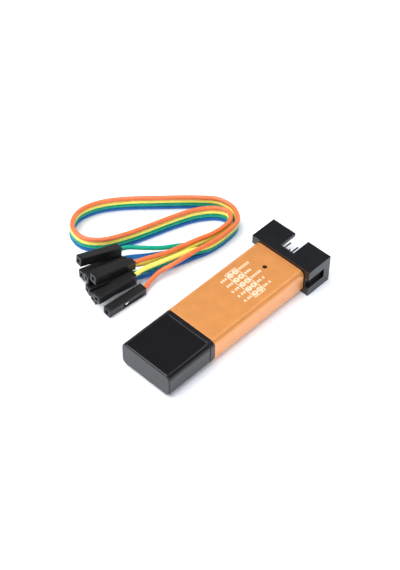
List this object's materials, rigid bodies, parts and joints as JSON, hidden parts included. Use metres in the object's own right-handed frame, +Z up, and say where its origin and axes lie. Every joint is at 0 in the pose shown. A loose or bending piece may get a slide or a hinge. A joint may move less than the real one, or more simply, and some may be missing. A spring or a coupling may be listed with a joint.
{
  "type": "usb microcontroller programmer",
  "caption": "Slim metal-cased programmer stick with a box header at one end, a capped plug at the other, and a loose ribbon of socket leads.",
  "frame": {"origin": "under the middle of the stick, on the surface that it lies on", "axes": "+X along the stick towards the box header, +Y to the side where the loose leads lie, +Z up"},
  "size_m": [0.0592, 0.0644, 0.0091],
  "materials": {
    "anodised_case": "bead-blasted orange-gold anodised",
    "black_plastic": "satin moulded black",
    "black_cap": "satin moulded black",
    "plug_steel": "nickel-plated steel",
    "white_plastic": "moulded white",
    "header_plastic": "moulded black",
    "circuit_board": "green solder mask over glass-fibre laminate",
    "chip_body": "moulded epoxy with tinned legs",
    "crystal_can": "nickel can",
    "led_lens": "clear lens",
    "fuse_body": "coated chip with tinned ends",
    "ceramic": "fired ceramic with tinned ends",
    "resistor_body": "glazed chip with tinned ends",
    "gold_contact": "gold flash",
    "header_pin": "tin plated",
    "socket_plastic": "moulded black",
    "crimp_terminal": "tin plated",
    "orange_insulation": "soft orange vinyl",
    "yellow_insulation": "soft yellow vinyl",
    "green_insulation": "soft green vinyl",
    "blue_insulation": "soft blue vinyl"
  },
  "bodies": {
    "programmer": {"shell": "anodised_case", "front_collar": "black_plastic", "usb_plug_shell": "plug_steel", "usb_tongue": "white_plastic", "header_housing": "header_plastic", "circuit_board": "circuit_board", "usb_contact_1": "gold_contact", "usb_contact_2": "gold_contact", "usb_contact_3": "gold_contact", "usb_contact_4": "gold_contact", "header_pin_1": "header_pin", "header_pin_2": "header_pin", "header_pin_3": "header_pin", "header_pin_4": "header_pin", "header_pin_5": "header_pin", "header_pin_6": "header_pin", "header_pin_7": "header_pin", "header_pin_8": "header_pin", "header_pin_9": "header_pin", "header_pin_10": "header_pin", "microcontroller": "chip_body", "voltage_regulator": "chip_body", "crystal": "crystal_can", "status_led": "led_lens", "resettable_fuse": "fuse_body", "capacitor_input": "ceramic", "capacitor_output": "ceramic", "capacitor_bypass": "ceramic", "resistor_data_1": "resistor_body", "resistor_data_2": "resistor_body", "resistor_led": "resistor_body"},
    "cap": {"usb_cap": "black_cap"},
    "lead_set": {"orange_wire": "orange_insulation", "yellow_wire": "yellow_insulation", "green_wire": "green_insulation", "blue_wire": "blue_insulation", "orange_socket_a": "socket_plastic", "orange_socket_b": "socket_plastic", "yellow_socket_a": "socket_plastic", "yellow_socket_b": "socket_plastic", "green_socket_a": "socket_plastic", "green_socket_b": "socket_plastic", "blue_socket_a": "socket_plastic", "blue_socket_b": "socket_plastic", "orange_terminal_a": "crimp_terminal", "orange_terminal_b": "crimp_terminal", "yellow_terminal_a": "crimp_terminal", "yellow_terminal_b": "crimp_terminal", "green_terminal_a": "crimp_terminal", "green_terminal_b": "crimp_terminal", "blue_terminal_a": "crimp_terminal", "blue_terminal_b": "crimp_terminal"}
  },
  "joints": [
    {"name": "cap_pull", "type": "slide", "parent": "programmer", "child": "cap", "axis": [-1, 0, 0], "range_m": [0, 0.02]},
    {"name": "leads_lift", "type": "slide", "parent": "programmer", "child": "lead_set", "axis": [0, 0, 1], "range_m": [0, 0.06]}
  ]
}
